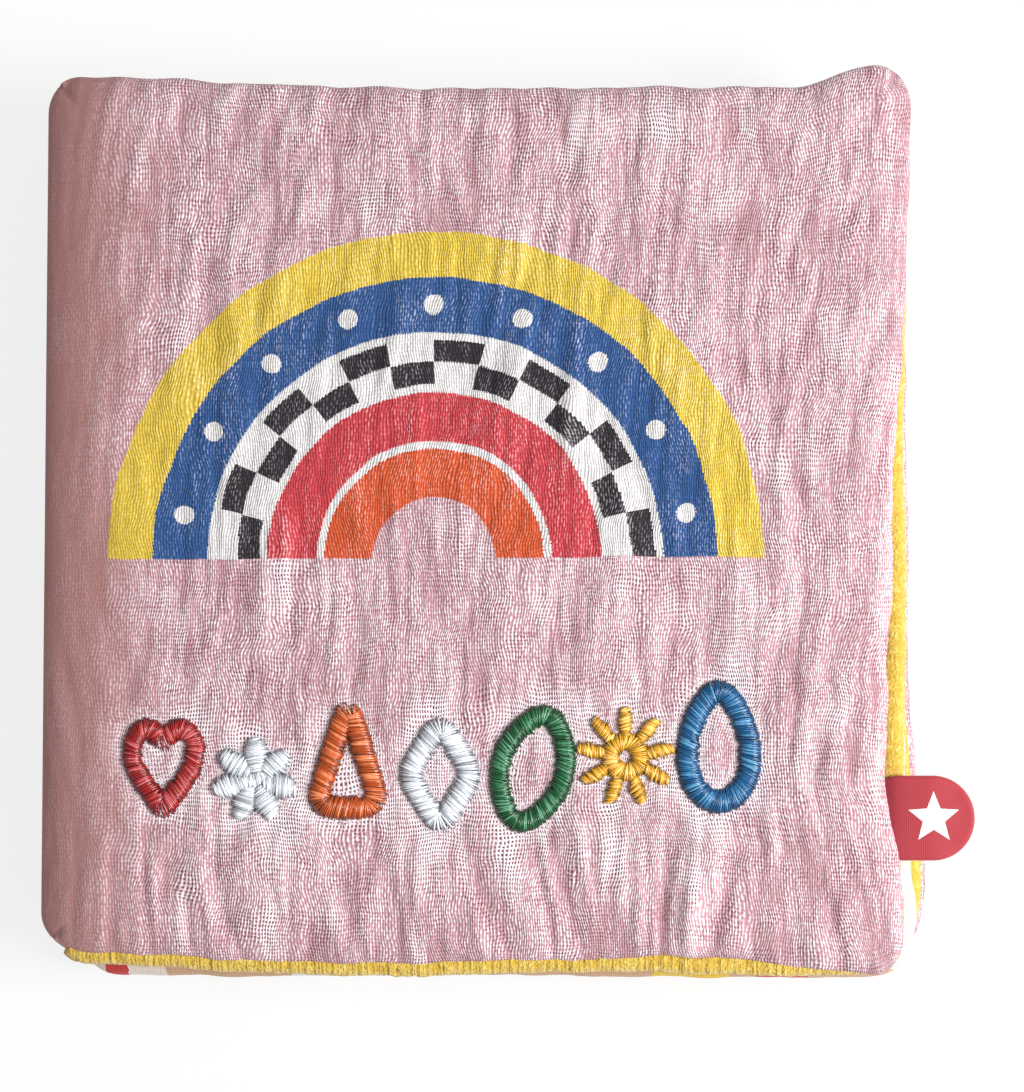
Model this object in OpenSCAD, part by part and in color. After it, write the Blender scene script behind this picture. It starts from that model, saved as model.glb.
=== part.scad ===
// A padded cloth book for a small child, closed and lying on its back cover.
// The covers are gauze cloth over wadding, with a lining seamed in all round.
// The leaves between them are padded too, and are sewn together down the spine.
// +X runs from the spine to the fore-edge, +Y from tail to head, and +Z is up.
// The origin is the middle of the flat face that the back cover rests on.

/* [Book] */
// Width of the closed book, from spine to fore-edge
book_w = 150; // [140:1:180]
// Height of the book, from tail to head
book_h = 153; // [140:1:180]
// Radius of the sewn corners of the covers
corner_r = 9; // [6:0.5:12]
// Gap between layers that are free of each other
layer_gap = 0.3; // [0.2:0.05:0.6]

/* [Covers] */
// Height of a cover's padded outer panel, from its seam to its face
pad_t = 4.4; // [3.5:0.1:6]
// Height of the padded panel's edge, where it is turned in at the seam
seam_lip = 1.4; // [1.3:0.1:2]
// Width over which the panel curves down to its seam
edge_run = 10; // [7:0.5:11]
// How far the seam is pulled in at the middle of the fore-edge
side_pull = 3.6; // [0:0.2:5]
// How far the seam is pulled in at the middle of the head and the tail
end_pull = 1.2; // [0:0.2:3]
// Thickness of a cover's lining
lining_t = 1.6; // [1:0.1:2.4]
// How far the lining's rolled edge swells out from its faces
lining_roll = 1; // [0.4:0.1:1.6]
// How far the front lining shows past the cover at the tail
lining_drop = 1.2; // [0:0.1:2]
// How far the back cover stands out past the front one at the fore-edge
back_creep = 1.6; // [0:0.1:2.5]

/* [Gauze] */
// Distance from one crinkle of the gauze to the next
crinkle_pitch = 8; // [6:0.5:12]
// Depth of the deepest crinkles
crinkle_d = 0.8; // [0.2:0.1:1.2]
// Width over which the crinkles fade out round the print and the stitching
crinkle_fade = 7; // [4:1:12]

/* [Leaves] */
// Number of padded leaves between the covers
leaf_count = 3; // [3:1:5]
// Thickness of one padded leaf
leaf_t = 4.8; // [4.6:0.1:6]
// How far the leaves stop short of the covers at head and tail
leaf_inset = 1.5; // [0.5:0.1:4]
// Depth of the bound edge that joins the leaves at the spine
bind_d = 7; // [4:0.5:12]

/* [Spine] */
// Thickness of the cloth strip round the spine
spine_t = 1; // [0.6:0.1:1.6]
// How far the spine strip bows out
spine_bow = 1.8; // [1:0.1:3]

/* [Label tab] */
// Width of the label tab, along the fore-edge
tab_w = 14.6; // [10:0.2:20]
// Thickness of the label tab
tab_t = 1.1; // [0.6:0.1:1.2]
// Length of the tab past the book's full width
tab_out = 11.2; // [9:0.2:18]
// Length of the tab held in the seam
tab_in = 6; // [4:0.5:10]
// Height of the tab's middle above the tail of the book
tab_up = 25; // [22:0.5:60]

/* [Print] */
// Outer radius of the printed rainbow
print_r = 57; // [45:0.5:60]
// Distance from the spine to the print
print_in = 10.5; // [10.5:0.5:20]
// Height of the rainbow's feet above the tail of the book
print_up = 70.5; // [66:0.5:76]
// Thickness of the ink
ink_t = 0.15; // [0.1:0.05:0.3]
// Widths of the rainbow's bands, from the outermost one in
band_yellow = 8; // [4:0.5:9]
// Width of the spotted band
band_blue = 9.5; // [4:0.5:11]
// Width of the chequered band
band_check = 8; // [4:0.5:9]
// Width of the plain red band
band_red = 8.5; // [4:0.5:9]
// Width of the innermost band
band_orange = 8.5; // [4:0.5:9]
// Width of the white lines between bands
band_line = 1.3; // [0.8:0.1:1.5]

/* [Stitching] */
// Distance from the spine to the first stitched shape's middle
row_in = 20.5; // [19:0.5:26]
// Height of the row's middle above the tail of the book
row_up = 33.5; // [31:0.5:38]
// Distance from one stitched shape to the next
row_pitch = 16; // [15.5:0.1:16.5]
// Width of the stitched shapes
motif_w = 14.6; // [11:0.2:15]
// Width of a line of satin stitch
satin_w = 3.7; // [2.4:0.1:4]
// Height of the satin stitch above the cloth
satin_t = 1; // [0.5:0.1:1.5]

/* [Hidden] */
$fn = 64;

// Heights of the layers, from the table up
back_seam_z = pad_t;
back_fold_z = back_seam_z + lining_t + layer_gap / 2;
block_z = back_fold_z + layer_gap / 2;
block_t = leaf_count * leaf_t;
front_fold_z = block_z + block_t + layer_gap / 2;
front_lining_z = front_fold_z + layer_gap / 2;
front_seam_z = front_lining_z + lining_t;
front_face_z = front_seam_z + pad_t;

// The fold lines that the covers turn on stand just outside everything else
fold_out = 0.4;
fold_x = -book_w / 2 - fold_out;

// The printed rainbow and the row of stitched shapes
print_centre = [-book_w / 2 + print_in + print_r, -book_h / 2 + print_up];
row_count = 7;
row_start = [-book_w / 2 + row_in, -book_h / 2 + row_up];
row_middle = row_start + [(row_count - 1) / 2 * row_pitch, 0];
motif_h = 24;
flat_margin = 1.5;

// The flat patch under the back cover, and how the padding falls away round it
rest_half = [52, 54];
rest_fall = 0.7;
rest_fall_run = 12;

// Rows of the gauze mesh: close together round the corners, even between them
row_step = 7.5;
corner_turns = [90, 60, 30];
mid_half = book_h / 2 - corner_r;
mid_rows = 2 * round(mid_half / row_step);
gauze_rows = concat(
    [for (a = corner_turns) -mid_half - corner_r * sin(a)],
    [for (j = [0:mid_rows]) mid_half * (2 * j / mid_rows - 1)],
    [for (k = [len(corner_turns) - 1:-1:0]) mid_half + corner_r * sin(corner_turns[k])]
);
samples_a_crinkle = 3;
gauze_columns = samples_a_crinkle * round(book_w / crinkle_pitch);

function smooth(t) = let (c = min(1, max(0, t))) c * c * (3 - 2 * c);
function box_gap(p, centre, half) =
    max(abs(p.x - centre.x) - half.x, abs(p.y - centre.y) - half.y);
function arch_gap(p, centre, r) =
    max(norm(p - centre) - r, centre.y - flat_margin - p.y);

// How strongly the front cover crinkles: not at all under the print and the stitching
function front_crinkle(p) = let (
    row_half = [row_count / 2 * row_pitch, motif_h / 2] + [flat_margin, flat_margin],
    gap = min(
        arch_gap(p, print_centre, print_r + flat_margin),
        box_gap(p, row_middle, row_half)
    )
) smooth(gap / crinkle_fade);

// How strongly the back cover crinkles, and how far it falls away: not at all where it rests
function back_crinkle(p) = smooth(box_gap(p, [0, 0], rest_half) / crinkle_fade);
function back_fall(p) = rest_fall * min(1, max(0, box_gap(p, [0, 0], rest_half)) / rest_fall_run);

// Half the width of the outline at height y, with its round corners
function half_width(y) = let (past = max(0, abs(y) - mid_half))
    book_w / 2 - corner_r + sqrt(max(0, corner_r * corner_r - past * past));

// The stuffing pulls the seams in between the corners, but not at the spine
function pulled(p) = let (u = 2 * p.x / book_w, v = 2 * p.y / book_h) [
    p.x - side_pull * pow(max(0, u), 2) * (1 - v * v),
    p.y - end_pull * v * abs(v) * (1 - u * u)
];

// The quarter round by which a padded face meets its seam
function rise(d) = let (t = min(1, d / edge_run)) sqrt(1 - (1 - t) * (1 - t));

// How far the gauze dips at column i of a row at height y
function dip(i, y) = let (
    wander = 55 * sin(1.9 * y + 3 * i) + 35 * sin(4.3 * y + 40),
    swing = 0.7 + 0.3 * sin(17 * i + 2.3 * y)
) crinkle_d * swing * (1 + cos(360 * i / samples_a_crinkle + wander)) / 2;

// One corner of the gauze mesh, as [x, y, height above the seam]
function gauze_point(i, y, back) = let (
    half = half_width(y),
    x = half * (2 * i / gauze_columns - 1),
    lift = rise(half - abs(x)) * rise(max(0, book_h / 2 - abs(y))),
    crinkle = back ? back_crinkle([x, y]) : front_crinkle([x, y]),
    fall = back ? back_fall([x, y]) : 0,
    xy = pulled([x, y])
) [xy.x, xy.y, seam_lip + (pad_t - seam_lip - fall - crinkle * dip(i, y)) * lift];

// A padded panel of crinkled gauze, its flat underside at the seam
module gauze_panel(back = false) {
    columns = gauze_columns + 1;
    rows = len(gauze_rows);
    top = [for (y = gauze_rows) for (i = [0:gauze_columns]) gauze_point(i, y, back)];
    rim = concat(
        [for (i = [0:gauze_columns]) i],
        [for (j = [1:rows - 1]) j * columns + gauze_columns],
        [for (i = [gauze_columns - 1:-1:0]) (rows - 1) * columns + i],
        [for (j = [rows - 2:-1:1]) j * columns]
    );
    base = len(top);
    around = len(rim);
    under = [for (k = rim) [top[k].x, top[k].y, 0]];
    face = [
        for (j = [0:rows - 2]) for (i = [0:gauze_columns - 1])
        let (a = j * columns + i, b = a + 1, c = b + columns, d = a + columns)
        each [[a, d, c], [a, c, b]]
    ];
    wall = [
        for (k = [0:around - 1]) let (n = (k + 1) % around)
        each [[rim[k], rim[n], base + n], [rim[k], base + n, base + k]]
    ];
    underside = [
        for (k = [0:around - 1]) [base + around, base + k, base + (k + 1) % around]
    ];
    polyhedron(concat(top, under, [[0, 0, 0]]), concat(face, wall, underside));
}

// A flat pad with round corners, whose edge swells out by roll at half its thickness
module rolled_pad(w, h, r, t, roll) {
    edge = [
        [0, 0], [r - roll, 0], [r - 0.3 * roll, 0.2 * t], [r, 0.5 * t],
        [r - 0.3 * roll, 0.8 * t], [r - roll, t], [0, t]
    ];
    flat = [w - 2 * r, h - 2 * r];
    translate([-flat.x / 2, -flat.y / 2, 0]) cube([flat.x, flat.y, t]);
    for (side = [0, 180]) rotate([0, 0, side]) {
        translate([flat.x / 2, flat.y / 2, 0])
            rotate([90, 0, 0]) linear_extrude(flat.y) polygon(edge);
        translate([-flat.x / 2, flat.y / 2, 0])
            rotate([90, 0, 90]) linear_extrude(flat.x) polygon(edge);
        translate([flat.x / 2, flat.y / 2, 0]) rotate_extrude(angle = 90) polygon(edge);
        translate([flat.x / 2, -flat.y / 2, 0])
            rotate([0, 0, -90]) rotate_extrude(angle = 90) polygon(edge);
    }
}

// The radius and middle of the bow in the spine strip
half_chord = block_t / 2;
bow_r = (half_chord * half_chord + spine_bow * spine_bow) / (2 * spine_bow);
bow_x = -book_w / 2 + bow_r;
bow_z = block_z + block_t / 2;
spine_h = book_h - corner_r;

module bow_rod(r) {
    translate([bow_x, 0, bow_z]) rotate([90, 0, 0]) cylinder(r = r, h = spine_h, center = true);
}

module between_covers(depth) {
    translate([-book_w / 2, -spine_h / 2, block_z]) cube([depth, spine_h, block_t]);
}

module spine() {
    color([0.88, 0.68, 0.70]) difference() {
        intersection() {
            bow_rod(bow_r);
            between_covers(spine_bow + spine_t);
        }
        bow_rod(bow_r - spine_t);
    }
}

// The leaves lie a little askew of each other, as soft leaves do
leaf_back = spine_t + 1.2;
leaf_w = book_w - leaf_back - 1.2;
leaf_h = book_h - 2 * leaf_inset;
leaf_shift = [[0.6, -2.4], [-0.8, 0.3], [0.4, -0.5]];
leaf_roll = 1.3;

module page_block() {
    color([0.96, 0.93, 0.88]) union() {
        for (k = [0:leaf_count - 1]) let (shift = leaf_shift[k % len(leaf_shift)])
            translate([leaf_back / 2 - 0.6 + shift.x, shift.y, block_z + k * leaf_t])
                rolled_pad(leaf_w, leaf_h, corner_r, leaf_t, leaf_roll);
        intersection() {
            bow_rod(bow_r - spine_t - 0.1);
            between_covers(bind_d);
        }
    }
}

// The front cover's print is plain fields of ink, which soak into the cloth
ink_soak = 0.5;
print_fn = 72;
spot_fn = 16;

module ink(colour, coats = 1) {
    color(colour) translate([print_centre.x, print_centre.y, front_face_z - ink_soak])
        linear_extrude(ink_soak + coats * ink_t) children();
}

module half_ring(outer, width) {
    intersection() {
        difference() {
            circle(outer, $fn = print_fn);
            circle(outer - width, $fn = print_fn);
        }
        translate([-outer, 0]) square([2 * outer, outer]);
    }
}

r_blue = print_r - band_yellow;
r_line_1 = r_blue - band_blue;
r_check = r_line_1 - band_line;
r_line_2 = r_check - band_check;
r_red = r_line_2 - band_line;
r_line_3 = r_red - band_red;
r_orange = r_line_3 - band_line;
check_count = 14;
spot_count = 9;
spot_r = 1.7;

// A wedge of the chequered band, half as deep as the band
module check(k, row) {
    sliver = 0.05;
    step = 180 / check_count;
    hull() for (side = [0.02, 0.98])
        rotate((k + side) * step)
            translate([r_check - (row + 1) * band_check / 2, -sliver / 2])
                square([band_check / 2, sliver]);
}

module printed_rainbow() {
    ink([0.93, 0.75, 0.16]) half_ring(print_r, band_yellow);
    ink([0.16, 0.33, 0.60]) half_ring(r_blue, band_blue);
    ink([0.95, 0.93, 0.90]) half_ring(r_line_1, band_line + band_check + band_line);
    ink([0.80, 0.22, 0.26]) half_ring(r_red, band_red);
    ink([0.95, 0.93, 0.90]) half_ring(r_line_3, band_line);
    ink([0.88, 0.36, 0.15]) half_ring(r_orange, band_orange);
    ink([0.95, 0.93, 0.90], 2) for (k = [0:spot_count - 1])
        rotate((k + 0.5) * 180 / spot_count) translate([r_blue - band_blue / 2, 0])
            circle(spot_r, $fn = spot_fn);
    ink([0.17, 0.16, 0.17], 2) for (k = [0:check_count - 1]) check(k, k % 2);
}

module tab_outline(grow) {
    translate([-tab_in, -tab_w / 2 - grow])
        square([tab_in + side_pull + tab_out - tab_w / 2, tab_w + 2 * grow]);
}

// The tab's slot in the seam is cut under the cover's padding
tab_place = [book_w / 2 - side_pull, -book_h / 2 + tab_up, front_seam_z];
tab_ease = 0.15;

module front_cover() {
    color([0.93, 0.74, 0.76]) difference() {
        translate([0, 0, front_seam_z]) gauze_panel();
        translate(tab_place) translate([0, 0, -tab_t])
            linear_extrude(2 * tab_t) tab_outline(tab_ease);
    }
    printed_rainbow();
}

module front_lining() {
    color([0.94, 0.76, 0.20]) translate([0, -lining_drop, front_lining_z])
        rolled_pad(book_w, book_h, corner_r, lining_t, lining_roll);
}

module label_tab() {
    rim = tab_t / 2;
    end_x = side_pull + tab_out - tab_w / 2;
    half_section = [
        [0, 0], [tab_w / 2 - rim, 0], [tab_w / 2 - 0.3 * rim, 0.3 * rim], [tab_w / 2, rim],
        [tab_w / 2 - 0.3 * rim, tab_t - 0.3 * rim], [tab_w / 2 - rim, tab_t], [0, tab_t]
    ];
    color([0.83, 0.28, 0.32]) translate(tab_place) {
        translate([end_x, 0, 0]) rotate([0, 0, -90])
            rotate_extrude(angle = 180) polygon(half_section);
        for (side = [0, 1]) mirror([0, side, 0])
            translate([-tab_in, 0, 0]) rotate([90, 0, 90])
                linear_extrude(tab_in + end_x) polygon(half_section);
    }
}

module back_cover() {
    color([0.93, 0.74, 0.76]) translate([back_creep, 0, back_seam_z])
        mirror([0, 0, 1]) gauze_panel(back = true);
}

module back_lining() {
    color([0.94, 0.76, 0.20]) translate([back_creep, 0, back_seam_z])
        rolled_pad(book_w, book_h, corner_r, lining_t, lining_roll);
}

// Satin stitch is a rounded cord of thread laid across its line
section_turns = [0, 45, 90, 135, 180];
slim_satin_w = 0.85 * satin_w;

// A closed line of satin stitch: each point of the outline is carried in towards the middle
module satin_ring(outline, w = satin_w) {
    n = len(outline);
    m = len(section_turns);
    points = [
        for (p = outline) let (r = norm(p), inward = min(w, r - 0.5))
        for (a = section_turns)
        let (q = p * (1 - inward * (1 - cos(a)) / 2 / r)) [q.x, q.y, satin_t * sin(a)]
    ];
    faces = [
        for (i = [0:n - 1]) for (k = [0:m - 1])
        let (
            a = i * m + k, b = i * m + (k + 1) % m,
            c = (i + 1) % n * m + (k + 1) % m, d = (i + 1) % n * m + k
        ) each [[a, b, c], [a, c, d]]
    ];
    polyhedron(points, faces);
}

// A single column of satin stitch from [x0, 0] to [x1, 0], widest at its middle
module satin_column(x0, x1, w, tip = 0.35) {
    m = len(section_turns);
    steps = 5;
    points = [
        for (i = [0:steps]) let (t = i / steps, x = x0 + (x1 - x0) * t)
        let (half = w / 2 * (tip + (1 - tip) * sin(180 * t)))
        for (a = section_turns)
        [x, -half * cos(a), satin_t * sin(a) * (tip + (1 - tip) * sin(180 * t))]
    ];
    last = steps * m;
    faces = concat(
        [
            for (i = [0:steps - 1]) for (k = [0:m - 1])
            let (a = i * m + k, b = i * m + (k + 1) % m)
            each [[a, b, b + m], [a, b + m, a + m]]
        ],
        [[for (k = [m - 1:-1:0]) k]],
        [[for (k = [0:m - 1]) last + k]]
    );
    polyhedron(points, faces);
}

// Puts a shape at its place in the row
module in_row(k, lift = 0) {
    translate([row_start.x + k * row_pitch, row_start.y + lift, front_face_z]) children();
}

function oval(a, w, h) = [w / 2 * cos(a), h / 2 * sin(a)];
turns = [for (a = [0:12:348]) a];

module heart_stitching() {
    unit = motif_w / 32;
    tall = 1.3;
    color([0.80, 0.13, 0.14]) in_row(0, -1) satin_ring([
        for (a = turns) unit * [
            -16 * pow(sin(a), 3),
            tall * (13 * cos(a) - 5 * cos(2 * a) - 2 * cos(3 * a) - cos(4 * a) + 4.5)
        ]
    ], slim_satin_w);
}

module daisy_stitching() {
    petals = 7;
    color([0.90, 0.92, 0.96]) in_row(1, -2) {
        for (k = [0:petals - 1]) rotate(90 + k * 360 / petals)
            satin_column(1, motif_w / 2, 4.2);
        cylinder(r = 1.5, h = satin_t);
    }
}

// The corners of a polygon, each turned in an arc of radius r
function rounded(corners, r, steps = 5) = let (n = len(corners)) [
    for (i = [0:n - 1]) let (
        p = corners[i],
        a = corners[(i + n - 1) % n] - p, b = corners[(i + 1) % n] - p,
        ua = a / norm(a), ub = b / norm(b),
        half = acos(ua * ub) / 2,
        centre = p + (ua + ub) / norm(ua + ub) * r / sin(half),
        from = p + ua * r / tan(half) - centre,
        turn = 180 - 2 * half
    ) for (s = [0:steps]) let (t = turn * s / steps)
    centre + [from.x * cos(t) - from.y * sin(t), from.x * sin(t) + from.y * cos(t)]
];

module triangle_stitching() {
    h = motif_h;
    corners = [[-motif_w / 2, -0.36 * h], [motif_w / 2, -0.36 * h], [0, 0.64 * h]];
    color([0.89, 0.35, 0.09]) in_row(2, 0) satin_ring(rounded(corners, 1.6));
}

module diamond_stitching() {
    h = 23;
    corners = [[0, -h / 2], [motif_w / 2, 0], [0, h / 2], [-motif_w / 2, 0]];
    color([0.90, 0.92, 0.96]) in_row(3, -1) satin_ring(rounded(corners, 2));
}

module leaf_stitching() {
    h = 22.5;
    tilt = -16;
    leaf = [
        for (a = turns) let (s = sin(a)) [motif_w / 2 * cos(a) * (1 - 0.28 * s * s), h / 2 * s]
    ];
    color([0.06, 0.42, 0.20]) in_row(4) rotate(tilt) satin_ring(leaf, slim_satin_w);
}

module sun_stitching() {
    rays = 9;
    disc = 8.4;
    color([0.92, 0.66, 0.14]) in_row(5, 2) {
        satin_ring([for (a = turns) oval(a, disc, disc)], 3);
        for (k = [0:rays - 1]) rotate(90 + k * 360 / rays)
            satin_column(disc / 2 - 0.8, motif_w / 2 + 1.2, 2.2, 0.5);
    }
}

module drop_stitching() {
    h = 23;
    color([0.06, 0.42, 0.70]) in_row(6, 1) satin_ring([
        for (a = turns) let (s = sin(a), pinch = s > 0 ? pow(cos(a) * cos(a), 0.35) : 1)
        [motif_w / 2 * cos(a) * (s > 0 ? pinch : 1), s > 0 ? 0.62 * h * s : 0.38 * h * s]
    ]);
}

page_block();
spine();
front_cover();
front_lining();
label_tab();
heart_stitching();
daisy_stitching();
triangle_stitching();
diamond_stitching();
leaf_stitching();
sun_stitching();
drop_stitching();
back_cover();
back_lining();
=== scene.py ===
# A padded cloth book for a small child, closed and lying on its back cover.
# x runs from the spine to the fore-edge, y from tail to head and z up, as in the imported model.
# Sizes below are in millimetres, and are turned into metres where a mesh is made.
import math

import bpy
import numpy as np
from mathutils import Matrix, Vector, bvhtree, kdtree, noise


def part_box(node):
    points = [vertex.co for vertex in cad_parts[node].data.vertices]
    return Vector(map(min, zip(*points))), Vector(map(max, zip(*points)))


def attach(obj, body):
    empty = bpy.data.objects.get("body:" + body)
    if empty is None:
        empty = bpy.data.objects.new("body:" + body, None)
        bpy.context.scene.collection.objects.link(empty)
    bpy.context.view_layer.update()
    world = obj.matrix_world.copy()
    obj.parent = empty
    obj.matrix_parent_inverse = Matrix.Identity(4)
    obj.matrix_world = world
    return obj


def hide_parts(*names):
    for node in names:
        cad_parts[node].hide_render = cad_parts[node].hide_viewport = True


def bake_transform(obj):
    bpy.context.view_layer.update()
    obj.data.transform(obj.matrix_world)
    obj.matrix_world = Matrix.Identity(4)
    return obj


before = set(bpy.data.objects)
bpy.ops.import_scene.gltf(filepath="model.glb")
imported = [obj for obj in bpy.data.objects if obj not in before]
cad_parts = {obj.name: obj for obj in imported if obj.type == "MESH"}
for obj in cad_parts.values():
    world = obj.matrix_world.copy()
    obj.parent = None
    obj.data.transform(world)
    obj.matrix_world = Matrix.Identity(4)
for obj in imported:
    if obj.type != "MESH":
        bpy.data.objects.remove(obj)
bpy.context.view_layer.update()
mm = 0.001

# The table, the lamps and the camera
# The book lies on a plain white table under a wide soft lamp and an even white sky.
# The camera looks almost straight down, leaning a little to the tail and the fore-edge.
photo_height = 1092
pixels_per_mm = 5.77
camera_distance = 620
look_at = Vector((5.9, -4.5, 26))
lean = Vector((0.05, -0.07, 1)).normalized()

bpy.ops.object.camera_add(location=(look_at + lean * camera_distance) * mm)
camera = bpy.context.object
across = Vector((0, 1, 0)).cross(lean).normalized()
camera.rotation_euler = Matrix((across, lean.cross(across), lean)).transposed().to_euler()
camera.data.lens = camera.data.sensor_width * pixels_per_mm * camera_distance / photo_height
bpy.context.scene.camera = camera
bpy.context.scene.view_settings.view_transform = "Standard"

key_place = Vector((610, -90, 540))
bpy.ops.object.light_add(type="AREA", location=key_place * mm)
key = bpy.context.object
key.name = "soft lamp"
key.rotation_euler = key_place.to_track_quat("Z", "Y").to_euler()
key.data.size = 0.35
key.data.energy = 8.2


def shown_white(tree, shader, output, share):
    """Lets the camera see a plain white in place of a share of this shader."""
    glow = tree.nodes.new("ShaderNodeBackground" if "World" in output.name else "ShaderNodeEmission")
    glow.inputs["Color"].default_value = (1, 1, 1, 1)
    rays = tree.nodes.new("ShaderNodeLightPath")
    part = tree.nodes.new("ShaderNodeMath")
    part.operation = "MULTIPLY"
    part.inputs[1].default_value = share
    mix = tree.nodes.new("ShaderNodeMixShader")
    tree.links.new(rays.outputs["Is Camera Ray"], part.inputs[0])
    tree.links.new(part.outputs[0], mix.inputs[0])
    tree.links.new(shader.outputs[0], mix.inputs[1])
    tree.links.new(glow.outputs[0], mix.inputs[2])
    tree.links.new(mix.outputs[0], output.inputs[0])


sky = bpy.data.worlds.new("sky")
bpy.context.scene.world = sky
sky.use_nodes = True
sky_light = sky.node_tree.nodes["Background"]
sky_light.inputs["Color"].default_value = (1, 1, 1, 1)
sky_light.inputs["Strength"].default_value = 0.42
shown_white(sky.node_tree, sky_light, sky.node_tree.nodes["World Output"], 1.0)

bpy.ops.mesh.primitive_plane_add(size=4, location=(0, 0, 0))
table = bpy.context.object
table.name = "table"
white_top = bpy.data.materials.new("white table top")
white_top.use_nodes = True
white_paint = white_top.node_tree.nodes["Principled BSDF"]
white_paint.inputs["Base Color"].default_value = (0.93, 0.93, 0.93, 1)
white_paint.inputs["Roughness"].default_value = 0.9
shown_white(white_top.node_tree, white_paint, white_top.node_tree.nodes["Material Output"], 0.8)
table.data.materials.append(white_top)

# The front cover's gauze
# The cover's outer panel is crinkled double gauze over wadding, turned in at its seam.
# At the spine the gauze runs down over the edge of the book instead of ending in a seam.
lining_low, lining_high = (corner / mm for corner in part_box("front_lining"))
book_w = lining_high.x - lining_low.x
book_h = lining_high.y - lining_low.y
corner_r = 6.5
front_seam_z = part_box("front_cover")[0].z / mm


def arc(centre, radii, start, end, steps=20):
    """Points along an elliptical arc between two angles in degrees."""
    turn = np.radians(np.linspace(start, end, steps))
    return [(centre[0] + radii[0] * math.cos(a), centre[1] + radii[1] * math.sin(a)) for a in turn]


def section(points, length=None):
    """The edge of a pad as (inset, height, distance along the cloth) from the seam inwards."""
    points = np.array(points)
    steps = np.hypot(*np.diff(points, axis=0).T)
    distance = np.concatenate([[0], np.cumsum(steps)])
    return np.column_stack([points, distance * (length or distance[-1]) / distance[-1]])


def seam_curve(knots, places):
    """A smooth seam line through a few knots of (place, offset)."""
    x, y = np.array(knots, float).T
    slope = np.gradient(y, x)
    k = np.clip(np.searchsorted(x, places) - 1, 0, len(x) - 2)
    width = x[k + 1] - x[k]
    t = np.clip((places - x[k]) / width, 0, 1)
    rise = y[k + 1] - y[k]
    left, right = slope[k] * width, slope[k + 1] * width
    return y[k] + t * left + t**2 * (3 * rise - 2 * left - right) + t**3 * (left + right - 2 * rise)


def smooth(t):
    """Rises gently from 0 to 1 as t does."""
    t = np.clip(t, 0, 1)
    return t * t * (3 - 2 * t)


def lumps(place, size, seed):
    """Smooth noise from about -1 to 1 at each place, whose lumps are about size across."""
    scaled = place / np.array(size)
    return np.array([noise.noise(Vector((a, b, seed))) for a, b in scaled]) * 1.6


def points_of(piece):
    """The places of a piece's points, one row each."""
    places = np.zeros(len(piece.data.vertices) * 3)
    piece.data.vertices.foreach_get("co", places)
    return places.reshape(-1, 3)


def cloth_face(name, size, step, edges, radius=corner_r):
    """A rectangle of cloth laid over a pad: edges holds the section that it follows at each side.

    The result is the object, and for each of its points the place on the flat cloth, the place on
    the pad, how far up each edge it is, and how far from the seam along the cloth."""
    lengths = {side: points[-1][2] for side, points in edges.items()}
    flat_size = [
        size[axis] - sum(edges[side][-1][0] - lengths[side] for side in sides)
        for axis, sides in enumerate((("left", "right"), ("tail", "head")))
    ]
    bpy.ops.object.select_all(action="DESELECT")
    bpy.ops.mesh.primitive_grid_add(
        x_subdivisions=round(size[0] / step), y_subdivisions=round(size[1] / step), size=1
    )
    cloth = bpy.context.object
    cloth.name = name
    flat = (points_of(cloth)[:, :2] + 0.5) * flat_size
    placed = np.zeros((len(flat), 3))
    inside = np.ones((len(flat), 2))
    nearest = np.full(len(flat), np.inf)
    for axis, low, high in ((0, "left", "right"), (1, "tail", "head")):
        placed[:, axis] = flat[:, axis] - lengths[low] + edges[low][-1][0] - size[axis] / 2
        for side, distance, sign in (
            (low, flat[:, axis], 1), (high, flat_size[axis] - flat[:, axis], -1)
        ):
            insets, heights, s = edges[side].T
            near = distance < lengths[side]
            placed[near, axis] = sign * (np.interp(distance[near], s, insets) - size[axis] / 2)
            height = np.interp(distance, s, heights)
            inside[near, axis] = ((height - height.min()) / np.ptp(height))[near]
            closer = distance < nearest
            placed[closer, 2] = height[closer]
            nearest = np.minimum(nearest, distance)
    over = np.abs(placed[:, :2]) - (np.array(size) / 2 - radius)
    in_corner = (over > 0).all(axis=1)
    ends = over[in_corner]
    rounder = ends.max(axis=1) / np.hypot(*ends.T)
    placed[in_corner, :2] += np.sign(placed[in_corner, :2]) * ends * (rounder[:, None] - 1)
    return cloth, flat, placed, inside, nearest


def lay(cloth, placed, flat):
    """Moves a cloth's points to their places, and keeps its threads' places as its UV map."""
    cloth.data.vertices.foreach_set("co", (placed * mm).ravel())
    corners = np.zeros(len(cloth.data.loops), int)
    cloth.data.loops.foreach_get("vertex_index", corners)
    cloth.data.uv_layers[0].data.foreach_set("uv", (flat[corners] * mm).ravel())
    cloth.data.update()


def note(piece, name, values):
    """Keeps a number at each point of a piece, which its material reads."""
    field = piece.data.attributes.new(name, "FLOAT", "POINT")
    field.data.foreach_set("value", np.asarray(values, np.float32))


def pick(*pieces):
    """Selects these pieces and no others, and makes the first one active."""
    bpy.ops.object.select_all(action="DESELECT")
    for piece in pieces:
        piece.select_set(True)
    bpy.context.view_layer.objects.active = pieces[0]


def edit(piece, *steps):
    """Runs edit-mode steps on one piece. Each step is an operator and its settings."""
    pick(piece)
    bpy.ops.object.mode_set(mode="EDIT")
    for operator, settings in steps:
        operator(**settings)
    bpy.ops.object.mode_set(mode="OBJECT")


def face_outwards(piece):
    """Turns a closed piece's faces outwards, all together."""
    edit(
        piece,
        (bpy.ops.mesh.select_all, {"action": "SELECT"}),
        (bpy.ops.mesh.normals_make_consistent, {"inside": False}),
    )
    if sum(face.center.dot(face.normal) * face.area for face in piece.data.polygons) < 0:
        piece.data.flip_normals()


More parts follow.
